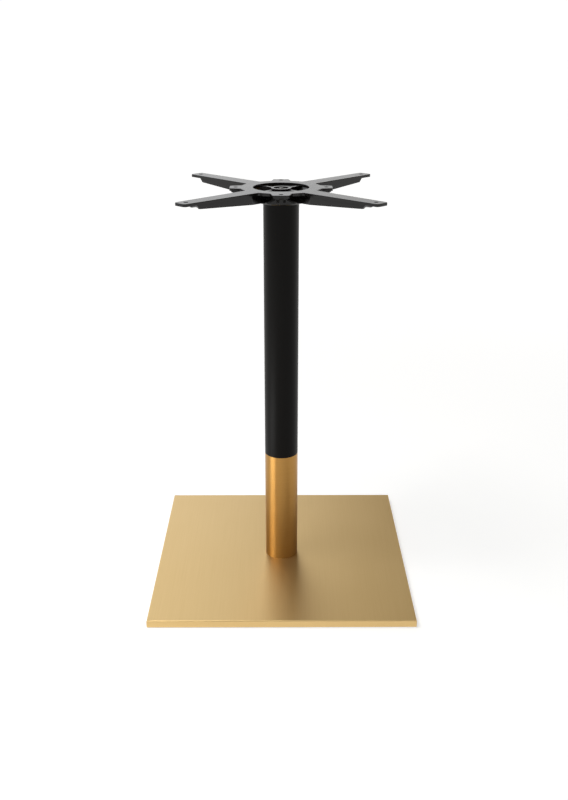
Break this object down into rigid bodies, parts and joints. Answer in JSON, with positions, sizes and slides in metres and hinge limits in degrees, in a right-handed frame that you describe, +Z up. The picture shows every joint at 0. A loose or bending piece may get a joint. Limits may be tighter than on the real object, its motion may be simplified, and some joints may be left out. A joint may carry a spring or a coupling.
{
  "type": "square table base",
  "caption": "Square pedestal table base: folded brass-coloured cover over a ballast plate, round two-tone column and a black cast spider with drilled arms that carries the table top.",
  "frame": {"origin": "on the floor under the middle of the square base", "axes": "+Z up along the column, X and Y square to the sides of the base"},
  "size_m": [0.46, 0.46, 0.705],
  "materials": {
    "brass_finish": "brushed, brass-coloured",
    "primed_steel": "grey primer",
    "pad_rubber": "matt",
    "bare_steel": "turned",
    "black_zinc": "black zinc plate",
    "black_powder_coat": "satin powder coat",
    "black_enamel": "gloss enamel on a casting"
  },
  "bodies": {
    "root": {"base_cover": "brass_finish", "ballast_plate": "primed_steel", "floor_pad_front_left": "pad_rubber", "floor_pad_front_right": "pad_rubber", "floor_pad_rear_left": "pad_rubber", "floor_pad_rear_right": "pad_rubber", "column_locator": "bare_steel", "locator_washer": "black_zinc", "locator_nut": "black_zinc", "lower_tube": "brass_finish", "tube_joiner": "bare_steel", "upper_tube": "black_powder_coat", "tie_rod": "black_zinc", "top_washer": "black_zinc", "top_nut": "black_zinc", "spider": "black_enamel"}
  },
  "joints": []
}
